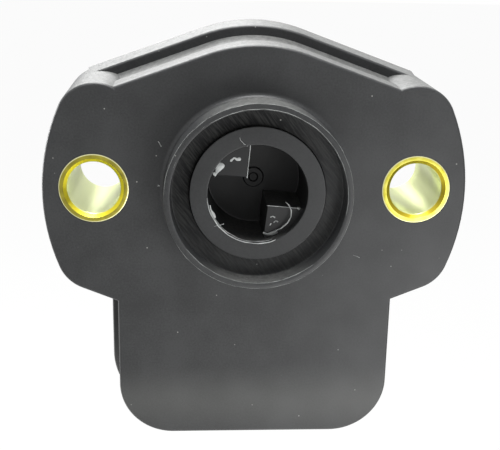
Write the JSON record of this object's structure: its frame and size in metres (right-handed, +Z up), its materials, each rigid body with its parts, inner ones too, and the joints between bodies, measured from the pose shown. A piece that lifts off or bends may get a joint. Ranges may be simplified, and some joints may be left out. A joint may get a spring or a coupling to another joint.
{
  "type": "throttle position sensor",
  "caption": "Throttle position sensor: flanged black housing with bushed ears, a pilot collar, a turning drive socket and a rear connector.",
  "frame": {"origin": "on the rotor's axis in the plane of the mating face, midway between the two mounting holes", "axes": "-Y points out of the mating face towards the throttle body, +X runs to the right ear seen from there, +Z points up, away from the tongue"},
  "size_m": [0.0506, 0.0301, 0.0524],
  "materials": {
    "housing_plastic": "moulded glass-filled black polyester, low sheen with fine moulding texture",
    "bushing_yellow": "turned sleeve with a yellow finish",
    "rotor_plastic": "moulded grey-black thermoplastic",
    "seal_rubber": "smooth moulded rubber",
    "washer_plastic": "natural slippery plastic",
    "spring_steel": "drawn spring wire",
    "wiper_metal": "thin stamped contact spring",
    "film_amber": "amber polyimide film",
    "backing_laminate": "glass-fibre laminate",
    "track_carbon": "printed carbon ink",
    "print_silver": "printed silver ink",
    "terminal_tin": "tin-plated brass strip",
    "eyelet_brass": "rolled brass eyelets",
    "cover_plastic": "moulded black cover",
    "sealant_black": "cured bead of sealant"
  },
  "bodies": {
    "sensor_body": {"housing": "housing_plastic", "bushing_left": "bushing_yellow", "bushing_right": "bushing_yellow", "rotor_seal": "seal_rubber", "thrust_washer": "washer_plastic", "return_spring": "spring_steel", "wave_washer": "spring_steel", "element_film": "film_amber", "element_backing": "backing_laminate", "resistor_track": "track_carbon", "collector_track": "track_carbon", "conductor_traces": "print_silver", "terminal_supply": "terminal_tin", "terminal_signal": "terminal_tin", "terminal_ground": "terminal_tin", "terminal_eyelets": "eyelet_brass", "rear_cover": "cover_plastic", "cover_sealant": "sealant_black"},
    "rotor": {"rotor": "rotor_plastic", "wiper_contact": "wiper_metal"}
  },
  "joints": [
    {"name": "rotor_turn", "type": "hinge", "parent": "sensor_body", "child": "rotor", "pos_m": [0, 0, 0], "axis": [0, -1, 0], "range_deg": [0, 105], "stiffness_Nm_per_rad": 0.01, "springref_deg": -34.38, "deforming": ["return_spring"]}
  ]
}
